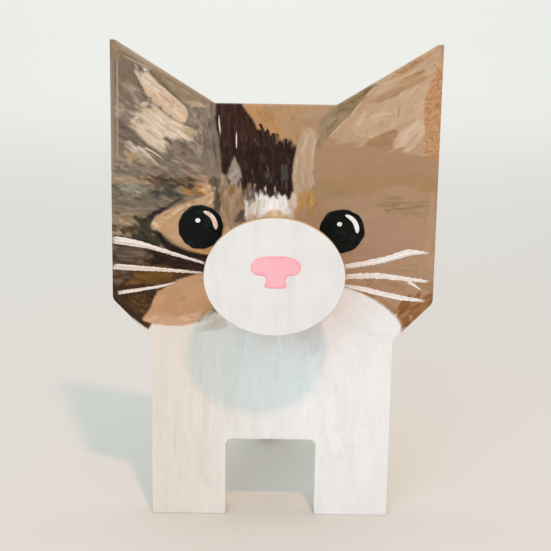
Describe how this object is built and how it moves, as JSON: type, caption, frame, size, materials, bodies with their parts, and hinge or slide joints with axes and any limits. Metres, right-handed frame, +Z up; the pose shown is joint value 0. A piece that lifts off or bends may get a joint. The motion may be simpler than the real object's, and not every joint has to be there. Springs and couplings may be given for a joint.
{
  "type": "eyeglasses display stand",
  "caption": "Cat-shaped wooden stand: a painted panel with an oval muzzle on a block that seats the bridge of a pair of glasses, propped by one hind leg.",
  "frame": {"origin": "middle of the ground under the stand: centre of the overall box at its base, z = 0 where the feet rest", "axes": "+Z up, +X to the right of someone looking at the face, the painted face looks towards -Y"},
  "size_m": [0.108, 0.114, 0.1621],
  "materials": {
    "painted_panel": "birch plywood, face and edges hand painted in matt acrylic, back bare",
    "painted_muzzle": "thin birch plywood, brushed white acrylic with a pink nose",
    "pale_block": "planed and sanded pale hardwood",
    "birch_ply": "birch plywood, sanded, clear matt lacquer",
    "beech_pin": "turned beech dowel",
    "screw_steel": "bright zinc plated"
  },
  "bodies": {
    "root": {"front_panel": "painted_panel", "muzzle_disc": "painted_muzzle", "bridge_block": "pale_block", "bridge_screws": "screw_steel", "muzzle_pins": "beech_pin", "leg_socket": "pale_block", "socket_pins": "beech_pin", "hind_leg": "birch_ply", "cross_pin": "beech_pin"}
  },
  "joints": []
}
